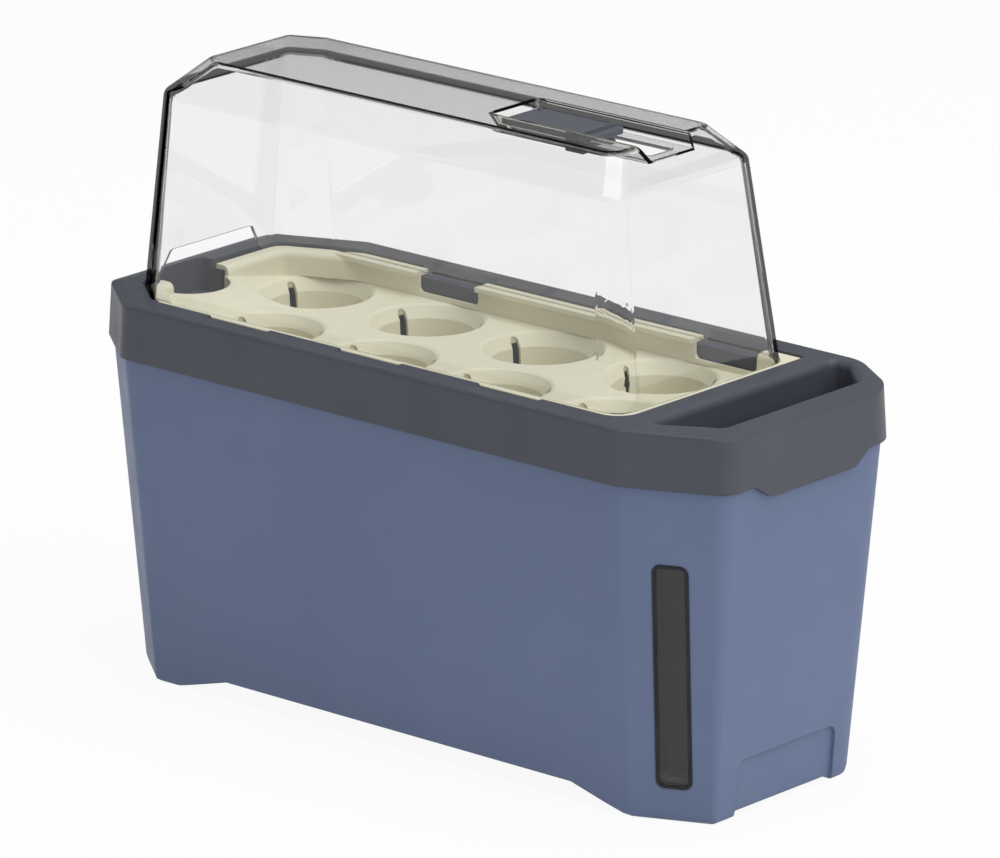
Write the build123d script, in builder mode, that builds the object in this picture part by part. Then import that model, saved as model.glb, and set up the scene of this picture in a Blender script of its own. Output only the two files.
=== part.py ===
from build123d import *
import os
from math import atan, cos, hypot, sin

os.makedirs("parts", exist_ok=True)

# Plan outline: the top edge of the collar, whose corners are cut long and short in turn
pot_length = 400.0
pot_width = 164.0
pot_height = 195.0
long_cut_x = 50.0
long_cut_y = 22.0
left_cut_x = 36.0
left_cut_y = 29.0
right_cut_x = 36.0
right_cut_y = 24.0
corner_round = 10.0
right_cut_round = 24.0
least_round = 1.0

# Tub
tub_wall = 3.5
tub_lean = 14.0
foot_edge_height = 4.0
foot_edge_run = 2.4
foot_edge_knee_height = 1.2
foot_edge_knee_run = 0.4
floor_thickness = 3.5
shoulder_inset = 0.9
shoulder_gap = 0.5
band_wall = 2.0
arch_rise = 10.0
arch_run = 36.0
end_arch_rise = 3.0
end_arch_width = 76.0
end_arch_run = 4.0
end_panel_width = 72.0
end_panel_height = 29.0
end_panel_depth = 1.8
end_panel_round = 5.0

# Collar
skirt_height = 27.0
skirt_wall = 2.4
skirt_flare = 1.5
skirt_clearance = 0.3
deck_thickness = 3.5
deck_width = 15.0
fill_end_length = 59.5
lip_drop = 7.0
lip_width = 62.0
lip_ramp = 11.0
lip_round = 6.0
deck_edge_round = 2.0
end_bevel_run = 6.0
end_bevel_drop = 1.2
right_bevel_run = 11.0
right_bevel_drop = 2.0
shelf_thickness = 3.0
shelf_width = 5.5
shelf_root = 3.0
well_wall = 2.5
well_depth = 17.0
scoop_width = 38.0
scoop_side_slope = 4.0
back_scoop_run = 7.5
back_scoop_slope = 5.0
back_scoop_sink = 1.0
front_scoop_run = 6.0
front_scoop_drop = 1.4
front_scoop_centres = (-100.0, -15.5, 72.5)

# Finger pocket in the collar's left end
pocket_centre = -15.5
pocket_length = 42.0
pocket_wall = 1.6
pocket_floor = 2.0
pocket_gap = 0.3
pocket_round = 5.0

# Fill trough in the collar's right end
bridge_width = 13.0
trough_end_margin = 16.0
trough_front_left = 19.5
trough_front_right = 37.0
trough_side_margin = 9.0
trough_cut_x = 21.0
trough_cut_y = 19.0
trough_depth = 45.0
trough_draft = 2.5
trough_wall = 2.5
trough_floor = 2.5
trough_round = 3.0
trough_edge_round = 4.0
fill_slot_width = 5.0
fill_slot_length = 18.0
fill_slot_pitch = 11.0
fill_slot_count = 5

# Seed tray
tray_clearance = 0.4
flange_thickness = 2.5
flange_sink = 1.0
flange_width = 8.0
tray_wall = 2.0
tray_floor = 2.0
tray_depth = 12.5
tray_edge_round = 3.5
tray_corner_round = 12.0
tray_back_round = 3.0
tray_round_growth = 0.6
tray_facet_margin = 3.2
tray_left_margin = 3.6
back_lip_width = 3.0
back_lip_start = -150.0
back_lip_end = 78.0
notch_width = 39.0
notch_sill = 2.2
notch_round = 3.0
left_notch_centre = -77.5
right_notch_margin = 43.0
gap_centre = -15.5
gap_width = 39.0
gap_depth = 5.5
gap_round = 1.0
bite_radius = 19.5
bite_depth = 20.5
bite_ramp_run = 34.0
cup_pitch = 73.2
cup_row_gap = 62.0
cup_stagger = 24.2
cup_block_centre = -18.0
cup_columns = 4
cup_bore = 48.0
cup_funnel_run = 5.5
cup_funnel_depth = 6.5
cup_edge_run = 1.6
cup_edge_drop = 0.8
cup_foot_bore = 41.0
cup_depth = 45.5
cup_wall = 1.8
cup_slot_angles = (40, 160, 280)
cup_slot_width = 4.2
cup_slot_start = 1.8
cup_slot_overcut = 1.8
cup_slot_length = 39.6
cup_drain = 10.0

# Dome
dome_wall = 2.2
dome_edge = 4.2
groove_depth = 0.5
groove_clearance = 0.3
dome_facet_margin = 0.5
dome_left_margin = 1.2
dome_side_lean = 9.5
dome_left_lean = 11.5
dome_right_lean = 13.7
dome_wall_height = 100.4
hip_run = 17.3
right_hip_run = 13.3
facet_hip_run = 23.0
hip_height = 16.6
dome_corner_round = 14.0
dome_corner_fade = 2.5
dome_edge_round = 5.0
archway_width = 76.0
archway_slope = 9.0
archway_height = 15.0
archway_round = 2.5

# Vent in the dome's top
vent_pocket_start = 15.5
vent_pocket_width = 37.0
vent_pocket_depth = 6.5
vent_pocket_slope = 3.0
vent_pocket_round = 5.0
vent_start = 57.5
vent_length = 51.0
vent_width = 18.0
vent_round = 2.0

# Vent slider
slider_length = 55.0
slider_clearance = 0.6
slider_thickness = 2.4
slider_lift = 0.3
slider_round = 5.0
stem_place = 45.0
stem_length = 11.0
stem_clearance = 0.5
hook_reach = 3.0
hook_thickness = 4.0
thumb_ridge_height = 2.0
thumb_ridge_thickness = 2.0
thumb_ridge_taper = 5.0
pip_diameter = 3.0
pip_height = 1.2
pip_taper = 15.0
pip_margin = 3.5

# Sight window, its gasket, and the float behind it
window_width = 17.5
window_height = 113.0
window_round = 4.0
window_bottom = 17.0
gasket_width = 1.6
gasket_proud = 0.6
pane_thickness = 3.0
pane_proud = 0.2
guide_wall = 1.6
guide_flange = 4.0
guide_end = 2.0
guide_foot_gap = 0.6
guide_height = 124.0
guide_drain = 6.0
float_width = 13.0
float_depth = 9.0
float_height = 11.5
float_clearance = 0.6
float_round = 1.5


# Corners of a closed outline, moved inwards by a distance
def inset_corners(corners, inset):
    moved = []
    count = len(corners)
    for index in range(count):
        before, here, after = corners[index - 1], corners[index], corners[(index + 1) % count]
        first = (here[0] - before[0], here[1] - before[1])
        second = (after[0] - here[0], after[1] - here[1])
        first_length = hypot(*first)
        second_length = hypot(*second)
        first = (first[0] / first_length, first[1] / first_length)
        second = (second[0] / second_length, second[1] / second_length)
        normal = (-first[1] - second[1], first[0] + second[0])
        share = inset / (1 + first[0] * second[0] + first[1] * second[1])
        moved.append((here[0] + normal[0] * share, here[1] + normal[1] * share))
    return moved


# Corners of the pot's plan outline, from the front left one, going round by the right
def plan_corners(inset):
    x, y = pot_length / 2, pot_width / 2
    corners = [
        (left_cut_x - x, -y),
        (x - long_cut_x, -y),
        (x, long_cut_y - y),
        (x, y - right_cut_y),
        (x - right_cut_x, y),
        (long_cut_x - x, y),
        (-x, y - long_cut_y),
        (-x, left_cut_y - y),
    ]
    return inset_corners(corners, inset)


# Where a straight line through two points passes a given x or a given y
def line_y(first, second, x):
    return first[1] + (second[1] - first[1]) * (x - first[0]) / (second[0] - first[0])


def line_x(first, second, y):
    return first[0] + (second[0] - first[0]) * (y - first[1]) / (second[1] - first[1])


# Corners of an outline inside the plan: margins from its sides, left facets, left end and right end
def well_corners(side, facet, left, right):
    x_left, x_right = left - pot_length / 2, pot_length / 2 - right
    y = pot_width / 2 - side
    outer = plan_corners(facet)
    return [
        (line_x(outer[0], outer[7], -y), -y),
        (x_right, -y),
        (x_right, y),
        (line_x(outer[5], outer[6], y), y),
        (x_left, line_y(outer[5], outer[6], x_left)),
        (x_left, line_y(outer[0], outer[7], x_left)),
    ]


# A rounded face over a closed outline
def rounded_face(height, corners, radii):
    with BuildSketch(Plane.XY.offset(height)) as face:
        with BuildLine():
            FilletPolyline(*corners, radius=radii, close=True)
        make_face()
    return face.sketch


def plan_face(height, inset):
    plain_round = max(corner_round - inset / 2, least_round)
    wide_round = right_cut_round - inset / 2
    radii = [plain_round] * 3 + [wide_round] * 2 + [plain_round] * 3
    return rounded_face(height, plan_corners(inset), radii)


def well_face(height, corners, left_round, right_round, back_round):
    return rounded_face(height, corners, [left_round, right_round, back_round] + [left_round] * 3)


# The tray's outline and its well have a wide corner at the front right and a tight one behind it
def tray_well_face(height, corners, inset):
    back_round = max(tray_back_round + tray_round_growth * inset, least_round)
    return well_face(height, corners, corner_round - inset / 2, tray_corner_round - inset, back_round)


# The well in the collar's deck that the tray stands in
def recess_face(height, inset):
    margin = deck_width + inset
    corners = well_corners(margin, margin, margin, fill_end_length + inset)
    return tray_well_face(height, corners, inset)


def tray_face(height, inset):
    corners = well_corners(
        deck_width + inset,
        deck_width + tray_facet_margin + inset,
        deck_width + tray_left_margin + inset,
        fill_end_length + inset,
    )
    return tray_well_face(height, corners, inset)


# A plane on a leaning wall: x along the wall, y up the wall, z out of the pot
def wall_plane(first, second, height, lean):
    middle_x, middle_y = (first[0] + second[0]) / 2, (first[1] + second[1]) / 2
    run_x, run_y = second[0] - first[0], second[1] - first[1]
    run = hypot(run_x, run_y)
    along = (run_x / run, run_y / run, 0)
    out = (run_y / run * cos(lean), -run_x / run * cos(lean), -sin(lean))
    return Plane(origin=(middle_x, middle_y, height), x_dir=along, z_dir=out)


# Heights, insets and places that several pieces share
skirt_bottom = pot_height - skirt_height
shoulder_height = skirt_bottom - shoulder_gap
deck_bottom = pot_height - deck_thickness
band_inset = skirt_wall + skirt_clearance
band_inner = band_inset + band_wall
foot_inset = shoulder_inset + tub_lean
outer_lean = atan(tub_lean / shoulder_height)
cavity_floor = end_arch_rise + floor_thickness
cavity_inset = foot_inset - tub_lean * cavity_floor / shoulder_height + tub_wall
inner_lean = atan((cavity_inset - band_inner) / (shoulder_height - cavity_floor))
flange_top = pot_height - flange_sink
flange_bottom = flange_top - flange_thickness
tray_floor_top = flange_top - tray_depth
arch_half = plan_corners(foot_inset)[1][0]
notch_centres = (left_notch_centre, pot_length / 2 - fill_end_length - right_notch_margin)


def outer_inset(height):
    return foot_inset - tub_lean * height / shoulder_height


def inner_inset(height):
    share = (height - cavity_floor) / (shoulder_height - cavity_floor)
    return cavity_inset + (band_inner - cavity_inset) * share


# The arch under the tub, from front to back, with the given floor over it
def arch_corners(thickness):
    spread = thickness * (hypot(arch_run, arch_rise) - arch_run) / arch_rise
    return [
        (-arch_half - spread - arch_run * thickness / arch_rise, -thickness),
        (arch_half + spread + arch_run * thickness / arch_rise, -thickness),
        (arch_half - arch_run + spread, arch_rise + thickness),
        (arch_run - arch_half - spread, arch_rise + thickness),
    ]


# Sight window: its place on the front right facet
window_middle = window_bottom + window_height / 2
facet_start, facet_end = plan_corners(outer_inset(window_middle))[1:3]
window_plane = wall_plane(facet_start, facet_end, window_middle, outer_lean)
inner_start, inner_end = plan_corners(inner_inset(window_middle))[1:3]
guide_plane = wall_plane(inner_start, inner_end, window_middle, inner_lean)
pane_width = window_width - 2 * gasket_width
pane_height = window_height - 2 * gasket_width

# Space inside the tub
with BuildPart() as water_space:
    loft([plan_face(cavity_floor, cavity_inset), plan_face(shoulder_height, band_inner)], ruled=True)
    extrude(plan_face(shoulder_height, band_inner), amount=skirt_height)
    with BuildSketch(Plane.XZ):
        Polygon(*arch_corners(floor_thickness), align=None)
    extrude(amount=pot_width, both=True, mode=Mode.SUBTRACT)

# Tub: a leaning shell with arched feet and a plain band that the collar covers
with BuildPart() as planter_body:
    loft(
        [
            plan_face(0, foot_inset + foot_edge_run),
            plan_face(foot_edge_knee_height, foot_inset + foot_edge_knee_run),
            plan_face(foot_edge_height, outer_inset(foot_edge_height)),
            plan_face(shoulder_height, shoulder_inset),
        ],
        ruled=True,
    )
    extrude(plan_face(shoulder_height, band_inset), amount=deck_bottom - shoulder_height)
    add(water_space.part, mode=Mode.SUBTRACT)
    with BuildSketch(Plane.XZ):
        Polygon(*arch_corners(0), align=None)
    extrude(amount=pot_width, both=True, mode=Mode.SUBTRACT)
    with BuildSketch(Plane.YZ):
        Polygon(
            (-end_arch_width / 2, 0),
            (end_arch_width / 2, 0),
            (end_arch_width / 2 - end_arch_run, end_arch_rise),
            (end_arch_run - end_arch_width / 2, end_arch_rise),
            align=None,
        )
    extrude(amount=pot_length, both=True, mode=Mode.SUBTRACT)
    panel_x = pot_length / 2 - outer_inset(end_panel_height)
    for side in (1, -1):
        start, end = (side * panel_x, -side * end_panel_width), (side * panel_x, side * end_panel_width)
        with BuildSketch(wall_plane(start, end, end_panel_height, outer_lean)):
            with BuildLine():
                panel_line = FilletPolyline(
                    (-end_panel_width / 2, -2 * end_panel_height),
                    (-end_panel_width / 2, 0),
                    (end_panel_width / 2, 0),
                    (end_panel_width / 2, -2 * end_panel_height),
                    radius=end_panel_round,
                )
                Line(panel_line @ 1, panel_line @ 0)
            make_face()
        extrude(amount=-end_panel_depth, mode=Mode.SUBTRACT)
    with BuildSketch(window_plane):
        RectangleRounded(window_width, window_height, window_round)
    extrude(amount=2 * tub_wall, both=True, mode=Mode.SUBTRACT)
planter_body.part.label = "planter_body"
export_step(planter_body.part, "parts/planter_body.step")

# Fill trough: its opening in the deck, from the front left corner, going round by the right
trough_left = pot_length / 2 - fill_end_length + bridge_width
trough_right = pot_length / 2 - trough_end_margin
trough_back = pot_width / 2 - trough_side_margin
trough_corners = [
    (trough_left, trough_front_left - pot_width / 2),
    (trough_right, trough_front_right - pot_width / 2),
    (trough_right, trough_back - trough_cut_y),
    (trough_right - trough_cut_x, trough_back),
    (trough_left, trough_back),
]


def trough_face(depth, inset):
    draft = trough_draft * depth / trough_depth
    return rounded_face(pot_height - depth, inset_corners(trough_corners, inset + draft), trough_round)


# A scoop in the deck: a sunken patch whose run and sides slope up to the deck
def scoop_face(height, centre, edge, side, width, run):
    with BuildSketch(Plane.XY.offset(height)) as face:
        with BuildLine():
            Polyline(
                (centre - width / 2, edge - side * deck_width / 2),
                (centre + width / 2, edge - side * deck_width / 2),
                (centre + width / 2, edge + side * run),
                (centre - width / 2, edge + side * run),
                close=True,
            )
        make_face()
    return face.sketch


# Collar: skirt and deck over the tub's band, with the tray's well, finger pocket and trough
lip_bottom = skirt_bottom - lip_drop
lip_flare = skirt_flare * (skirt_height + lip_drop) / skirt_height
shelf_bottom = flange_bottom - shelf_thickness
well_bottom = pot_height - well_depth
tray_edge_back = plan_corners(deck_width)[4][1]
tray_edge_left = plan_corners(deck_width)[6][0]
pocket_outer = -pot_length / 2 + band_inner + pocket_gap
pocket_inner = tray_edge_left + shelf_width
with BuildPart() as rim_collar:
    loft([plan_face(lip_bottom, -lip_flare), plan_face(pot_height, 0)], ruled=True)
    fillet(rim_collar.faces().sort_by(Axis.Z)[-1].edges(), deck_edge_round)
    extrude(plan_face(lip_bottom, shoulder_inset - skirt_clearance), amount=lip_drop, mode=Mode.SUBTRACT)
    extrude(plan_face(skirt_bottom, skirt_wall), amount=deck_bottom - skirt_bottom, mode=Mode.SUBTRACT)
    with BuildSketch(Plane.YZ):
        with BuildLine():
            lip_line = FilletPolyline(
                (-pot_width, skirt_bottom),
                (-lip_width / 2 - lip_ramp, skirt_bottom),
                (-lip_width / 2, lip_bottom),
                (lip_width / 2, lip_bottom),
                (lip_width / 2 + lip_ramp, skirt_bottom),
                (pot_width, skirt_bottom),
                radius=lip_round,
            )
            Polyline(lip_line @ 1, (pot_width, 0), (-pot_width, 0), lip_line @ 0)
        make_face()
    extrude(amount=pot_length, both=True, mode=Mode.SUBTRACT)
    bevel_corners = plan_corners(0)
    left_bevel = (end_bevel_run, end_bevel_drop)
    right_bevel = (right_bevel_run, right_bevel_drop)
    for start, end, (run, drop) in ((7, 0, left_bevel), (6, 7, left_bevel), (2, 3, right_bevel)):
        bevel_plane = wall_plane(bevel_corners[start], bevel_corners[end], pot_height, 0)
        with BuildSketch(Plane(bevel_plane.origin, x_dir=bevel_plane.z_dir, z_dir=-bevel_plane.x_dir)):
            Polygon((-run, 0), (run, -2 * drop), (run, drop), (-run, drop), align=None)
        extrude(amount=pot_width, both=True, mode=Mode.SUBTRACT)
    extrude(recess_face(shelf_bottom, -shelf_root), amount=shelf_thickness)
    extrude(recess_face(well_bottom, shelf_width - well_wall), amount=shelf_bottom - well_bottom)
    with BuildSketch(Plane.XY.offset(well_bottom - pocket_floor)):
        with BuildLine():
            FilletPolyline(
                (pocket_outer, pocket_centre - pocket_length / 2 - pocket_wall),
                (pocket_inner, pocket_centre - pocket_length / 2 - pocket_wall),
                (pocket_inner, pocket_centre + pocket_length / 2 + pocket_wall),
                (pocket_outer, pocket_centre + pocket_length / 2 + pocket_wall),
                radius=pocket_round,
                close=True,
            )
        make_face()
    extrude(amount=deck_bottom - well_bottom + pocket_floor)
    well_hole = recess_face(well_bottom - pocket_floor, shelf_width)
    extrude(well_hole, amount=well_depth + pocket_floor, mode=Mode.SUBTRACT)
    extrude(recess_face(flange_bottom, -tray_clearance), amount=deck_thickness, mode=Mode.SUBTRACT)
    with BuildSketch(Plane.XY.offset(well_bottom)):
        with BuildLine():
            FilletPolyline(
                (pocket_outer + pocket_wall, pocket_centre - pocket_length / 2),
                (pocket_inner + deck_width, pocket_centre - pocket_length / 2),
                (pocket_inner + deck_width, pocket_centre + pocket_length / 2),
                (pocket_outer + pocket_wall, pocket_centre + pocket_length / 2),
                radius=pocket_round - pocket_wall,
                close=True,
            )
        make_face()
    extrude(amount=well_depth, mode=Mode.SUBTRACT)
    for centre in notch_centres:
        low_run = back_scoop_run - back_scoop_slope
        high_width = scoop_width + 2 * scoop_side_slope
        low_height = flange_bottom - back_scoop_sink
        low = scoop_face(low_height, centre, tray_edge_back, 1, scoop_width, low_run)
        high = scoop_face(pot_height, centre, tray_edge_back, 1, high_width, back_scoop_run)
        loft([low, high], ruled=True, mode=Mode.SUBTRACT)
    for centre in front_scoop_centres:
        low_height = pot_height - front_scoop_drop
        high_width = scoop_width + front_scoop_drop
        low = scoop_face(low_height, centre, -tray_edge_back, -1, scoop_width, front_scoop_run / 2)
        high = scoop_face(pot_height, centre, -tray_edge_back, -1, high_width, front_scoop_run)
        loft([low, high], ruled=True, mode=Mode.SUBTRACT)
    trough_base = trough_depth + trough_floor
    loft([trough_face(trough_base, -trough_wall), trough_face(deck_thickness / 2, -trough_wall)], ruled=True)
    loft([trough_face(trough_depth, 0), trough_face(0, 0)], ruled=True, mode=Mode.SUBTRACT)
    top_edges = rim_collar.edges().filter_by_position(Axis.Z, pot_height, pot_height)
    trough_edges = top_edges.filter_by_position(Axis.X, trough_left, trough_right)
    fillet(trough_edges.filter_by_position(Axis.Y, trough_corners[0][1], trough_back), trough_edge_round)
    slot_middle = ((trough_left + trough_right) / 2, (trough_corners[1][1] + trough_corners[2][1]) / 2)
    with BuildSketch(Plane((*slot_middle, pot_height - trough_base))):
        with GridLocations(0, fill_slot_pitch, 1, fill_slot_count):
            SlotOverall(fill_slot_length, fill_slot_width)
    extrude(amount=trough_base, mode=Mode.SUBTRACT)
rim_collar.part.label = "rim_collar"
export_step(rim_collar.part, "parts/rim_collar.step")

# One seed cup, hung from the origin: its shell, and the space and slots in it
cup_mouth = cup_bore / 2 + cup_funnel_run
with BuildPart() as cup_shell:
    with BuildSketch(Plane.XZ):
        Polygon(
            (0, 0),
            (0, -cup_depth),
            (cup_foot_bore / 2 + cup_wall, -cup_depth),
            (cup_bore / 2 + cup_wall, -cup_funnel_depth - cup_wall),
            (cup_mouth, -tray_floor),
            (cup_mouth, 0),
            align=None,
        )
    revolve(axis=Axis.Z)

with BuildPart() as cup_space:
    with BuildSketch(Plane.XZ):
        Polygon(
            (0, 0),
            (0, cup_wall - cup_depth),
            (cup_foot_bore / 2, cup_wall - cup_depth),
            (cup_bore / 2, -cup_funnel_depth),
            (cup_mouth - cup_edge_run, -cup_edge_drop),
            (cup_mouth, 0),
            align=None,
        )
    revolve(axis=Axis.Z)
    with BuildSketch(Plane.XY.offset(-cup_depth)):
        Circle(cup_drain / 2)
    extrude(amount=cup_depth)
    for angle in cup_slot_angles:
        out = Vector(1, 0, 0).rotate(Axis.Z, angle)
        with BuildSketch(Plane((0, 0, 0), x_dir=out.cross(Vector(0, 0, -1)), z_dir=out)):
            with Locations((0, -cup_slot_start - cup_slot_length / 2)):
                SlotOverall(cup_slot_length, cup_slot_width, rotation=90)
        extrude(amount=cup_bore / 2 + cup_wall + cup_slot_overcut)

# Dome outline at its edge, its shoulder or its top, moved inwards by a distance
def dome_face(height, level, inset):
    side = deck_width + dome_edge + (0, dome_side_lean, dome_side_lean + hip_run)[level]
    facet = deck_width + dome_facet_margin + (0, dome_side_lean, dome_side_lean + facet_hip_run)[level]
    left = deck_width + dome_left_margin + (0, dome_left_lean, dome_left_lean + hip_run)[level]
    right = fill_end_length + dome_edge + (0, dome_right_lean, dome_right_lean + right_hip_run)[level]
    corners = well_corners(side + inset, facet + inset, left + inset, right + inset)
    fade = level * dome_corner_fade + inset
    right_round = dome_corner_round - fade
    return well_face(height, corners, corner_round - fade, right_round, right_round)


dome_bottom = flange_top - groove_depth
dome_shoulder = dome_bottom + dome_wall_height
dome_top = dome_shoulder + hip_height
inner_shoulder = dome_shoulder - dome_wall / 2
inner_edge_round = dome_edge_round - dome_wall
vent_floor = dome_top - vent_pocket_depth
vent_pocket_end = pot_length / 2

# Seed tray: a flanged tray with two staggered rows of funnel-mouthed, slotted cups
cup_places = []
for column in range(cup_columns):
    column_x = cup_block_centre + (column - (cup_columns - 1) / 2) * cup_pitch
    cup_places.append((column_x + cup_stagger / 2, -cup_row_gap / 2, tray_floor_top))
    cup_places.append((column_x - cup_stagger / 2, cup_row_gap / 2, tray_floor_top))
wall_outer = flange_width - tray_wall
tray_left = tray_edge_left + tray_left_margin
bite_x = tray_left + bite_depth - bite_radius
bite_rim_height = tray_depth - gap_depth
bite_rim_radius = bite_radius + tray_wall

# The slope from the bite's rim down to the tray's floor, clear of the cups
with BuildPart() as bite_ramp:
    with Locations((bite_x, gap_centre, tray_floor_top)):
        Cone(bite_rim_radius + bite_ramp_run, bite_rim_radius, bite_rim_height,
             align=(Align.CENTER, Align.CENTER, Align.MIN))
    extrude(tray_face(tray_floor_top, wall_outer), amount=bite_rim_height, mode=Mode.INTERSECT)
    with Locations(*cup_places):
        Cone(cup_mouth, cup_mouth + bite_rim_height, bite_rim_height,
             align=(Align.CENTER, Align.CENTER, Align.MIN), mode=Mode.SUBTRACT)

with BuildPart() as seed_tray:
    extrude(tray_face(flange_bottom, 0), amount=flange_thickness)
    extrude(tray_face(tray_floor_top - tray_floor, wall_outer), amount=tray_depth + tray_floor)
    extrude(tray_face(tray_floor_top, flange_width), amount=tray_depth, mode=Mode.SUBTRACT)
    fillet(seed_tray.faces().sort_by(Axis.Z)[-1].inner_wires().edges(), tray_edge_round)
    with BuildSketch(Plane((0, tray_edge_back - flange_width, flange_bottom))):
        Polygon(
            (back_lip_start, tray_edge_round),
            (back_lip_start, -back_lip_width),
            (back_lip_end, -back_lip_width),
            (back_lip_end, tray_edge_round),
            align=None,
        )
    extrude(amount=flange_thickness)
    add(bite_ramp.part)
    with Locations(*cup_places):
        add(cup_shell.part)
        add(cup_space.part, mode=Mode.SUBTRACT)
    with BuildSketch(Plane.XZ.offset(-tray_edge_back - tray_clearance)):
        with Locations(*[(centre, flange_top) for centre in notch_centres]):
            RectangleRounded(notch_width, 2 * (tray_depth - notch_sill), notch_round)
    extrude(amount=flange_width + back_lip_width + tray_clearance, mode=Mode.SUBTRACT)
    with BuildSketch(Plane.YZ.offset(tray_edge_left)):
        with Locations((gap_centre, flange_top)):
            RectangleRounded(gap_width, 2 * gap_depth, gap_round)
    extrude(amount=tray_left_margin + flange_width, mode=Mode.SUBTRACT)
    with BuildSketch(Plane.XY.offset(tray_floor_top - tray_floor)):
        with Locations((bite_x, gap_centre)):
            Circle(bite_radius)
    extrude(amount=tray_depth + tray_floor, mode=Mode.SUBTRACT)
    groove_outer = dome_face(dome_bottom, 0, -groove_clearance)
    groove_inner = dome_face(dome_bottom, 0, dome_wall + groove_clearance)
    extrude(groove_outer - groove_inner, amount=groove_depth, mode=Mode.SUBTRACT)
seed_tray.part.label = "seed_tray"
export_step(seed_tray.part, "parts/seed_tray.step")


# The pocket in the dome's top, or, with a wall, the shell round it
def vent_pocket_face(height, wall):
    rise = (height - vent_floor) / vent_pocket_depth * vent_pocket_slope
    left = vent_pocket_start + vent_pocket_slope - rise - wall
    half = vent_pocket_width / 2 - vent_pocket_slope + rise + wall
    corners = [(left, -half), (vent_pocket_end, -half), (vent_pocket_end, half), (left, half)]
    return rounded_face(height, corners, vent_pocket_round)


# Space under the dome
with BuildPart() as dome_space:
    loft(
        [
            dome_face(dome_bottom, 0, dome_wall),
            dome_face(inner_shoulder, 1, dome_wall),
            dome_face(dome_top - dome_wall, 2, dome_wall / 2),
        ],
        ruled=True,
    )
    fillet(dome_space.faces().sort_by(Axis.Z)[-1].edges(), inner_edge_round)
    inner_shoulder_edges = dome_space.edges().filter_by_position(Axis.Z, inner_shoulder, inner_shoulder)
    fillet(inner_shoulder_edges, inner_edge_round)
    loft([vent_pocket_face(vent_floor - dome_wall, dome_wall), vent_pocket_face(dome_top, dome_wall)],
         ruled=True, mode=Mode.SUBTRACT)

# Dome: clear hipped shell with a sunken vent pocket and an archway at its left end
with BuildPart() as dome_cover:
    loft(
        [
            dome_face(dome_bottom, 0, 0),
            dome_face(dome_shoulder, 1, 0),
            dome_face(dome_top, 2, 0),
        ],
        ruled=True,
    )
    fillet(dome_cover.faces().sort_by(Axis.Z)[-1].edges(), dome_edge_round)
    shoulder_edges = dome_cover.edges().filter_by_position(Axis.Z, dome_shoulder, dome_shoulder)
    fillet(shoulder_edges, dome_edge_round)
    loft([vent_pocket_face(vent_floor, 0), vent_pocket_face(dome_top, 0)], ruled=True, mode=Mode.SUBTRACT)
    add(dome_space.part, mode=Mode.SUBTRACT)
    with BuildSketch(Plane.XY.offset(vent_floor - 2 * dome_wall)):
        with Locations((vent_start + vent_length / 2, 0)):
            RectangleRounded(vent_length, vent_width, vent_round)
    extrude(amount=2 * dome_wall + vent_pocket_depth / 2, mode=Mode.SUBTRACT)
    with BuildSketch(Plane.YZ.offset(-pot_length / 2)) as archway:
        Polygon(
            (-archway_width / 2, dome_bottom),
            (archway_width / 2, dome_bottom),
            (archway_width / 2 - archway_slope, dome_bottom + archway_height),
            (archway_slope - archway_width / 2, dome_bottom + archway_height),
            align=None,
        )
        fillet(archway.vertices().group_by(Axis.Y)[-1], archway_round)
    extrude(amount=pot_length / 2, mode=Mode.SUBTRACT)
dome_cover.part.label = "dome_cover"
export_step(dome_cover.part, "parts/dome_cover.step")

# Vent slider: a plate in the pocket, held by hooks under the pocket's floor
slider_start = vent_pocket_start + vent_pocket_slope + slider_clearance
slider_width = vent_pocket_width - 2 * vent_pocket_slope - 2 * slider_clearance
slider_bottom = vent_floor + slider_lift
slider_top = slider_bottom + slider_thickness
stem_x = slider_start + stem_place
hook_top = vent_floor - dome_wall - slider_lift
stem_width = vent_width - 2 * stem_clearance
with BuildPart() as vent_slider:
    with BuildSketch(Plane((slider_start + slider_length / 2, 0, slider_bottom))):
        RectangleRounded(slider_length, slider_width, slider_round)
    extrude(amount=slider_thickness)
    with BuildSketch(Plane((stem_x, 0, hook_top - hook_thickness))):
        Rectangle(stem_length, stem_width)
    extrude(amount=slider_bottom - hook_top + hook_thickness)
    with BuildSketch(Plane((stem_x, 0, hook_top - hook_thickness))):
        Rectangle(stem_length, stem_width + 2 * hook_reach)
    extrude(amount=hook_thickness)
    ridge_x = slider_start + slider_length - slider_round - thumb_ridge_thickness / 2
    with BuildSketch(Plane((ridge_x, 0, slider_top))):
        Rectangle(thumb_ridge_thickness, slider_width)
    extrude(amount=thumb_ridge_height, taper=thumb_ridge_taper)
    with BuildSketch(Plane((slider_start + pip_margin, slider_width / 2 - pip_margin, slider_top))):
        Circle(pip_diameter / 2)
    extrude(amount=pip_height, taper=pip_taper)
vent_slider.part.label = "vent_slider"
export_step(vent_slider.part, "parts/vent_slider.step")

# Gasket: a ring in the window hole that stands a little proud of the facet
with BuildPart() as window_gasket:
    with BuildSketch(window_plane.offset(-tub_wall)):
        RectangleRounded(window_width, window_height, window_round)
        RectangleRounded(pane_width, pane_height, window_round - gasket_width, mode=Mode.SUBTRACT)
    extrude(amount=tub_wall + gasket_proud)
window_gasket.part.label = "window_gasket"
export_step(window_gasket.part, "parts/window_gasket.step")

# Sight window: a flat pane in the gasket
with BuildPart() as sight_window:
    with BuildSketch(window_plane.offset(pane_proud - pane_thickness)):
        RectangleRounded(pane_width, pane_height, window_round - gasket_width)
    extrude(amount=pane_thickness)
sight_window.part.label = "sight_window"
export_step(sight_window.part, "parts/sight_window.step")

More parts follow.
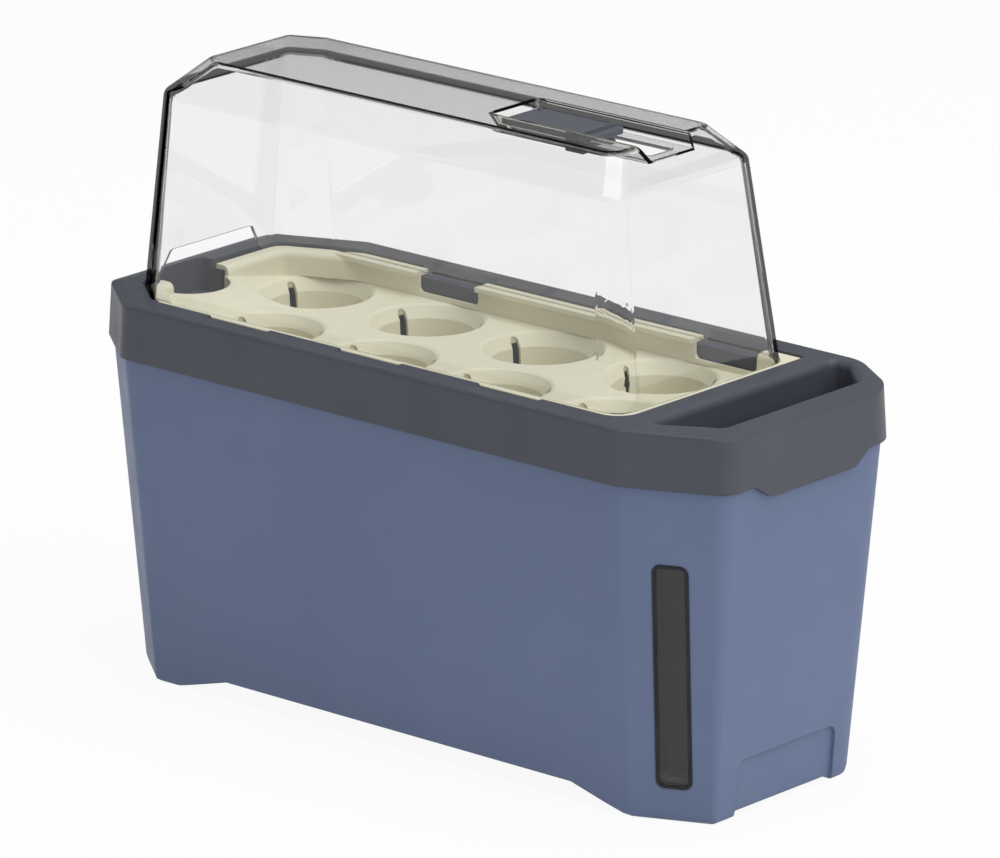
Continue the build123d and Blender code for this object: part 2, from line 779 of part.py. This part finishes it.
# Float guide: a channel on the inside of the facet, closed at both ends, open to the window
channel_width = float_width + 2 * float_clearance
channel_depth = float_depth + 2 * float_clearance
guide_foot = cavity_floor + guide_foot_gap + (channel_depth + guide_wall) * sin(inner_lean)
guide_drop = (window_middle - guide_foot) / cos(inner_lean)
guide_up = guide_plane.y_dir
guide_origin = guide_plane.origin - guide_up * guide_drop
guide_base = Plane(origin=guide_origin, x_dir=guide_plane.x_dir, z_dir=guide_up)
with BuildPart() as float_guide:
    with BuildSketch(guide_base):
        Polygon(
            (-channel_width / 2 - guide_wall, 0),
            (channel_width / 2 + guide_wall, 0),
            (channel_width / 2 + guide_wall, channel_depth + guide_wall),
            (-channel_width / 2 - guide_wall, channel_depth + guide_wall),
            align=None,
        )
        Polygon(
            (-channel_width / 2 - guide_wall - guide_flange, 0),
            (channel_width / 2 + guide_wall + guide_flange, 0),
            (channel_width / 2 + guide_wall + guide_flange, guide_wall),
            (-channel_width / 2 - guide_wall - guide_flange, guide_wall),
            align=None,
        )
    extrude(amount=guide_height)
    with BuildSketch(guide_base.offset(guide_end)):
        Polygon(
            (-channel_width / 2, 0),
            (channel_width / 2, 0),
            (channel_width / 2, channel_depth),
            (-channel_width / 2, channel_depth),
            align=None,
        )
    extrude(amount=guide_height - 2 * guide_end, mode=Mode.SUBTRACT)
    with BuildSketch(guide_base):
        with Locations((0, channel_depth / 2)):
            Circle(guide_drain / 2)
    extrude(amount=guide_height, mode=Mode.SUBTRACT)
float_guide.part.label = "float_guide"
export_step(float_guide.part, "parts/float_guide.step")

# Float: a small block in the channel, standing on the channel's lower end
with BuildPart() as level_float:
    with BuildSketch(guide_base.offset(guide_end + float_clearance / 2)):
        with Locations((0, channel_depth / 2)):
            RectangleRounded(float_width, float_depth, float_round)
    extrude(amount=float_height)
level_float.part.label = "level_float"
export_step(level_float.part, "parts/level_float.step")
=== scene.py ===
import math

import bpy
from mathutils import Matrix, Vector

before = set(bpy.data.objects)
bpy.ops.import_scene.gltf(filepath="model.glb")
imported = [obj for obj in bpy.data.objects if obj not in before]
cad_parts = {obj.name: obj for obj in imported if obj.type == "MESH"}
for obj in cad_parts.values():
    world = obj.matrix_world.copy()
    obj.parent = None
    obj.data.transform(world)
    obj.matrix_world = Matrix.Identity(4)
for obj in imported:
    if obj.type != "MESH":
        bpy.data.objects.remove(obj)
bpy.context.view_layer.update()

print("frame loaded:", len(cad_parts), "nodes")

# the middle of a noise, over which tones and roughness spread
toneSpread = (0.3, 0.7)


def newMaterial(name):
    material = bpy.data.materials.new(name)
    material.use_nodes = True
    nodes, links = material.node_tree.nodes, material.node_tree.links
    nodes.clear()
    output = nodes.new("ShaderNodeOutputMaterial")
    shader = nodes.new("ShaderNodeBsdfPrincipled")
    links.new(shader.outputs["BSDF"], output.inputs["Surface"])
    place = nodes.new("ShaderNodeTexCoord").outputs["Object"]
    return material, nodes, links, output, shader, place


def addNoise(nodes, links, place, scale, detail):
    noise = nodes.new("ShaderNodeTexNoise")
    noise.inputs["Scale"].default_value = scale
    noise.inputs["Detail"].default_value = detail
    links.new(place, noise.inputs["Vector"])
    return noise.outputs["Fac"]


def addRamp(nodes, links, source, low, high):
    # colours between two tones, over the middle of a noise
    ramp = nodes.new("ShaderNodeValToRGB")
    for element, position, tone in zip(ramp.color_ramp.elements, toneSpread, (low, high)):
        element.position = position
        element.color = (*tone, 1)
    links.new(source, ramp.inputs["Fac"])
    return ramp.outputs["Color"]


def addRange(nodes, links, source, low, high):
    # values between two limits, over the middle of a noise
    spread = nodes.new("ShaderNodeMapRange")
    spread.inputs["From Min"].default_value, spread.inputs["From Max"].default_value = toneSpread
    spread.inputs["To Min"].default_value = low
    spread.inputs["To Max"].default_value = high
    links.new(source, spread.inputs["Value"])
    return spread.outputs["Result"]


def addStep(nodes, links, source, low, high, start=0.0, end=1.0):
    # soft step from one value to another, between two limits of its source
    step = nodes.new("ShaderNodeMapRange")
    step.interpolation_type = "SMOOTHSTEP"
    step.inputs["From Min"].default_value = low
    step.inputs["From Max"].default_value = high
    step.inputs["To Min"].default_value = start
    step.inputs["To Max"].default_value = end
    links.new(source, step.inputs["Value"])
    return step.outputs["Result"]


def addMath(nodes, links, operation, first, second=None):
    node = nodes.new("ShaderNodeMath")
    node.operation = operation
    for socket, value in zip(node.inputs, (first, second)):
        if isinstance(value, float):
            socket.default_value = value
        elif value is not None:
            links.new(value, socket)
    return node.outputs["Value"]


def addMix(nodes, links, share, first, second):
    mix = nodes.new("ShaderNodeMixShader")
    links.new(share, mix.inputs["Fac"])
    links.new(first, mix.inputs[1])
    links.new(second, mix.inputs[2])
    return mix.outputs["Shader"]


def seenRays(nodes, links):
    # rays that show the background itself: straight, mirrored or through clear walls
    path = nodes.new("ShaderNodeLightPath")
    seen = addMath(nodes, links, "MAXIMUM", path.outputs["Is Camera Ray"], path.outputs["Is Glossy Ray"])
    return addMath(nodes, links, "MAXIMUM", seen, path.outputs["Is Transmission Ray"])


def dress(node, material):
    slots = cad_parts[node].data.materials
    slots.clear()
    slots.append(material)


# what all moulded plastics share
plasticLook = {
    "cloudDetail": 3.0, "patchDetail": 4.0, "grainDetail": 1.0, "edgeSamples": 6, "grainDepth": 0.0002,
}


def mouldedPlastic(name, look):
    # satin moulded plastic: cloudy tone, fine spark-eroded grain, soft edges
    material, nodes, links, _, shader, place = newMaterial(name)
    cloud = addNoise(nodes, links, place, look["cloudScale"], plasticLook["cloudDetail"])
    links.new(addRamp(nodes, links, cloud, look["dark"], look["light"]), shader.inputs["Base Color"])
    patch = addNoise(nodes, links, place, look["patchScale"], plasticLook["patchDetail"])
    rough = addRange(nodes, links, patch, look["roughLow"], look["roughHigh"])
    links.new(rough, shader.inputs["Roughness"])
    shader.inputs["Specular IOR Level"].default_value = look["shine"]
    edge = nodes.new("ShaderNodeBevel")
    edge.samples = plasticLook["edgeSamples"]
    edge.inputs["Radius"].default_value = look["edge"]
    grain = addNoise(nodes, links, place, look["grainScale"], plasticLook["grainDetail"])
    bump = nodes.new("ShaderNodeBump")
    bump.inputs["Strength"].default_value = look["grain"]
    bump.inputs["Distance"].default_value = plasticLook["grainDepth"]
    links.new(grain, bump.inputs["Height"])
    links.new(edge.outputs["Normal"], bump.inputs["Normal"])
    links.new(bump.outputs["Normal"], shader.inputs["Normal"])
    return material


def paintedRimShade(nodes, links, place, facing, look):
    # painted shade: a dark share on a dome's upright corners, shoulder band and top edge where they are seen
    # aslant, placed by normal, height and facing
    normal = nodes.new("ShaderNodeSeparateXYZ")
    links.new(nodes.new("ShaderNodeTexCoord").outputs["Normal"], normal.inputs["Vector"])
    where = nodes.new("ShaderNodeSeparateXYZ")
    links.new(place, where.inputs["Vector"])
    level = addMath(nodes, links, "ABSOLUTE", normal.outputs["Z"])
    across = addMath(nodes, links, "MULTIPLY", normal.outputs["X"], normal.outputs["Y"])
    across = addStep(nodes, links, addMath(nodes, links, "ABSOLUTE", across), *look["cornerTurn"])
    upright = addStep(nodes, links, level, *look["uprightEnd"], 1.0, 0.0)
    corner = addMath(nodes, links, "MULTIPLY", addStep(nodes, links, facing, *look["cornerEdge"]), across)
    corner = addMath(nodes, links, "MULTIPLY", corner, upright)
    shoulder = addMath(nodes, links, "SUBTRACT",
                       addStep(nodes, links, where.outputs["Z"], *look["shoulderStart"]),
                       addStep(nodes, links, where.outputs["Z"], *look["shoulderEnd"]))
    aslant = addStep(nodes, links, facing, *look["shoulderEdge"])
    shoulder = addMath(nodes, links, "MULTIPLY", shoulder, aslant)
    top = addMath(nodes, links, "SUBTRACT", addStep(nodes, links, level, *look["topStart"]),
                  addStep(nodes, links, level, *look["topEnd"]))
    top = addMath(nodes, links, "MULTIPLY", top, addStep(nodes, links, facing, *look["topEdge"]))
    top = addMath(nodes, links, "MULTIPLY", top, look["topShare"])
    return addMath(nodes, links, "MAXIMUM", addMath(nodes, links, "MAXIMUM", corner, shoulder), top)


def clearPlastic(name, look):
    # clear walls: lamps shine through, long ways inside the wall go dark, and walls seen edge-on get painted
    # shade
    material, nodes, links, output, shader, place = newMaterial(name)
    shader.inputs["Base Color"].default_value = (*look["tint"], 1)
    shader.inputs["Transmission Weight"].default_value = look["clear"]
    shader.inputs["IOR"].default_value = look["ior"]
    patch = addNoise(nodes, links, place, look["patchScale"], look["patchDetail"])
    rough = addRange(nodes, links, patch, look["roughLow"], look["roughHigh"])
    links.new(rough, shader.inputs["Roughness"])
    facing = nodes.new("ShaderNodeLayerWeight").outputs["Facing"]  # one where a wall is seen edge-on
    # painted shade: walls seen edge-on are mixed towards a dark see-through sheet
    dark = addStep(nodes, links, facing, *look["plainEdge"])
    dark = addMath(nodes, links, "MULTIPLY", dark, look["plainShare"])
    if "cornerEdge" in look:
        dark = addMath(nodes, links, "MAXIMUM", dark, paintedRimShade(nodes, links, place, facing, look))
    # the dark see-through sheet that carries the painted shade
    edge = nodes.new("ShaderNodeBsdfTransparent")
    edge.inputs["Color"].default_value = (*look["paintedEdgeShade"], 1)
    wall = addMix(nodes, links, dark, shader.outputs["BSDF"], edge.outputs["BSDF"])
    through = nodes.new("ShaderNodeBsdfTransparent")
    through.inputs["Color"].default_value = (*look["lampTint"], 1)
    path = nodes.new("ShaderNodeLightPath")
    soft = addMath(nodes, links, "MAXIMUM", path.outputs["Is Shadow Ray"], path.outputs["Is Diffuse Ray"])
    links.new(addMix(nodes, links, soft, wall, through.outputs["BSDF"]), output.inputs["Surface"])
    inside = nodes.new("ShaderNodeVolumeAbsorption")
    inside.inputs["Color"].default_value = (*look["inside"], 1)
    inside.inputs["Density"].default_value = look["density"]
    links.new(inside.outputs["Volume"], output.inputs["Volume"])
    return material


tubLook = {
    "dark": (0.137, 0.181, 0.308), "light": (0.148, 0.195, 0.329),
    "cloudScale": 9.0, "patchScale": 45.0, "roughLow": 0.46, "roughHigh": 0.56,
    "shine": 0.38, "edge": 0.0012, "grainScale": 1500.0, "grain": 0.10,
}
dress("planter_body", mouldedPlastic("dustyBlueTub", tubLook))

collarLook = {
    "dark": (0.072, 0.078, 0.099), "light": (0.080, 0.086, 0.108),
    "cloudScale": 11.0, "patchScale": 50.0, "roughLow": 0.44, "roughHigh": 0.54,
    "shine": 0.38, "edge": 0.0010, "grainScale": 1500.0, "grain": 0.12,
}
dress("rim_collar", mouldedPlastic("anthraciteCollar", collarLook))

trayLook = {
    "dark": (0.765, 0.740, 0.570), "light": (0.795, 0.770, 0.600),
    "cloudScale": 14.0, "patchScale": 60.0, "roughLow": 0.48, "roughHigh": 0.58,
    "shine": 0.35, "edge": 0.0008, "grainScale": 1700.0, "grain": 0.10,
}
dress("seed_tray", mouldedPlastic("creamTray", trayLook))

sliderLook = {
    "dark": (0.098, 0.104, 0.126), "light": (0.110, 0.116, 0.139),
    "cloudScale": 20.0, "patchScale": 80.0, "roughLow": 0.42, "roughHigh": 0.52,
    "shine": 0.40, "edge": 0.0004, "grainScale": 1800.0, "grain": 0.10,
}
dress("vent_slider", mouldedPlastic("ventSlider", sliderLook))

gasketLook = {
    "dark": (0.016, 0.017, 0.019), "light": (0.024, 0.025, 0.027),
    "cloudScale": 40.0, "patchScale": 120.0, "roughLow": 0.55, "roughHigh": 0.70,
    "shine": 0.30, "edge": 0.0004, "grainScale": 2200.0, "grain": 0.16,
}
dress("window_gasket", mouldedPlastic("gasketRubber", gasketLook))

guideLook = {
    "dark": (0.052, 0.056, 0.064), "light": (0.066, 0.070, 0.078),
    "cloudScale": 25.0, "patchScale": 90.0, "roughLow": 0.55, "roughHigh": 0.68,
    "shine": 0.30, "edge": 0.0004, "grainScale": 1800.0, "grain": 0.10,
}
dress("float_guide", mouldedPlastic("guideChannel", guideLook))

floatLook = {
    "dark": (0.70, 0.69, 0.62), "light": (0.76, 0.75, 0.68),
    "cloudScale": 60.0, "patchScale": 150.0, "roughLow": 0.50, "roughHigh": 0.62,
    "shine": 0.35, "edge": 0.0004, "grainScale": 1800.0, "grain": 0.10,
}
dress("level_float", mouldedPlastic("paleFloat", floatLook))

# each pair holds a soft step's limits for the painted shade: how far edge-on a wall is seen, how its normal
# lies, or its height
domeLook = {
    "tint": (1.0, 1.0, 1.0), "clear": 1.0, "ior": 1.38, "patchScale": 12.0, "patchDetail": 3.0,
    "roughLow": 0.0, "roughHigh": 0.02, "lampTint": (0.985, 0.985, 0.985),
    "inside": (0.10, 0.10, 0.10), "density": 24.0,
    "paintedEdgeShade": (0.36, 0.36, 0.36), "plainEdge": (0.72, 0.80), "plainShare": 0.48,
    "cornerEdge": (0.22, 0.46), "cornerTurn": (0.05, 0.25), "uprightEnd": (0.25, 0.40),
    "shoulderStart": (0.2915, 0.2925), "shoulderEnd": (0.2985, 0.3000), "shoulderEdge": (0.33, 0.45),
    "topStart": (0.84, 0.88), "topEnd": (0.96, 0.99), "topEdge": (0.40, 0.62), "topShare": 0.5,
}
dress("dome_cover", clearPlastic("clearDome", domeLook))

windowLook = {
    "tint": (1.0, 1.0, 1.0), "clear": 1.0, "ior": 1.5, "patchScale": 60.0, "patchDetail": 3.0,
    "roughLow": 0.05, "roughHigh": 0.10, "lampTint": (0.45, 0.45, 0.46),
    "inside": (0.30, 0.31, 0.32), "density": 240.0,
    # painted shade darkens the window where it is seen edge-on; the smoke itself is the absorption inside
    "paintedEdgeShade": (0.4, 0.4, 0.4), "plainEdge": (0.74, 0.95), "plainShare": 1.0,
}
dress("sight_window", clearPlastic("smokedWindowEdgeShade", windowLook))
print("materials set")


# floor: pale paint that keeps the shadow, with most of its own white where it is seen
floorLook = {
    "size": 40.0, "dark": (0.88, 0.88, 0.88), "light": (0.90, 0.90, 0.90),
    "speckScale": 3.0, "speckDetail": 2.0, "rough": 0.9, "ownWhite": 0.93,
}
bpy.ops.object.select_all(action="DESELECT")
bpy.ops.mesh.primitive_plane_add(size=floorLook["size"], location=(0, 0, 0))
floor = bpy.context.active_object
floor.name = "studioFloor"
floorPaint, nodes, links, output, shader, place = newMaterial("floorPaint")
speck = addNoise(nodes, links, place, floorLook["speckScale"], floorLook["speckDetail"])
links.new(addRamp(nodes, links, speck, floorLook["dark"], floorLook["light"]), shader.inputs["Base Color"])
shader.inputs["Roughness"].default_value = floorLook["rough"]
shader.inputs["Specular IOR Level"].default_value = 0.0
white = nodes.new("ShaderNodeEmission")
white.inputs["Strength"].default_value = 1.0
share = addMath(nodes, links, "MULTIPLY", seenRays(nodes, links), floorLook["ownWhite"])
paint = addMix(nodes, links, share, shader.outputs["BSDF"], white.outputs["Emission"])
links.new(paint, output.inputs["Surface"])
floor.data.materials.append(floorPaint)

# studio: even fill on the object, and a backdrop that is white round the horizon and grey overhead
skyLook = {"fill": 0.46, "low": 0.05, "high": 0.22, "horizon": 1.0, "overhead": 0.16}
world = bpy.data.worlds.new("studio")
bpy.context.scene.world = world
world.use_nodes = True
nodes, links = world.node_tree.nodes, world.node_tree.links
nodes.clear()
output = nodes.new("ShaderNodeOutputWorld")
split = nodes.new("ShaderNodeSeparateXYZ")
links.new(nodes.new("ShaderNodeTexCoord").outputs["Generated"], split.inputs["Vector"])
shown = nodes.new("ShaderNodeBackground")
backdrop = addStep(nodes, links, split.outputs["Z"], skyLook["low"], skyLook["high"],
                   skyLook["horizon"], skyLook["overhead"])
links.new(backdrop, shown.inputs["Strength"])
fill = nodes.new("ShaderNodeBackground")
fill.inputs["Strength"].default_value = skyLook["fill"]
sky = addMix(nodes, links, seenRays(nodes, links), fill.outputs["Background"], shown.outputs["Background"])
links.new(sky, output.inputs["Surface"])


def softbox(name, look):
    lamp = bpy.data.lights.new(name, "AREA")
    lamp.shape = "RECTANGLE"
    lamp.size, lamp.size_y = look["size"]
    lamp.energy = look["energy"]
    lampObject = bpy.data.objects.new(name, lamp)
    bpy.context.scene.collection.objects.link(lampObject)
    lampObject.location = look["at"]
    towards = Vector(look["aim"]) - Vector(look["at"])
    lampObject.rotation_euler = towards.to_track_quat("-Z", "Y").to_euler()


softbox("topSoftbox", {"size": (2.4, 1.8), "energy": 32.0, "at": (0.35, 0.15, 2.25), "aim": (0, 0, 0.2)})
softbox("rightSoftbox", {"size": (2.2, 2.4), "energy": 38.0, "at": (2.85, -0.2, 2.3), "aim": (0.1, 0, 0.15)})
print("floor and lamps set")

# camera as in the photograph: fitted bearing, height and distance
cameraLook = {
    "azimuth": 41.2, "elevation": 17.05, "distance": 4.4608,
    "target": (0.00703, 0.0, 0.14756), "lens": 334.026, "sensor": 36.0, "nearest": 0.05, "farthest": 100.0,
}
camera = bpy.data.cameras.new("photoCamera")
camera.lens = cameraLook["lens"]
camera.sensor_width = cameraLook["sensor"]
camera.clip_start, camera.clip_end = cameraLook["nearest"], cameraLook["farthest"]
cameraObject = bpy.data.objects.new("photoCamera", camera)
bpy.context.scene.collection.objects.link(cameraObject)
around, above = math.radians(cameraLook["azimuth"]), math.radians(cameraLook["elevation"])
back = Vector((math.sin(around) * math.cos(above), -math.cos(around) * math.cos(above), math.sin(above)))
cameraObject.location = Vector(cameraLook["target"]) + back * cameraLook["distance"]
cameraObject.rotation_euler = (-back).to_track_quat("-Z", "Y").to_euler()
bpy.context.scene.camera = cameraObject
bpy.context.scene.view_settings.view_transform = "Standard"
print("camera set")
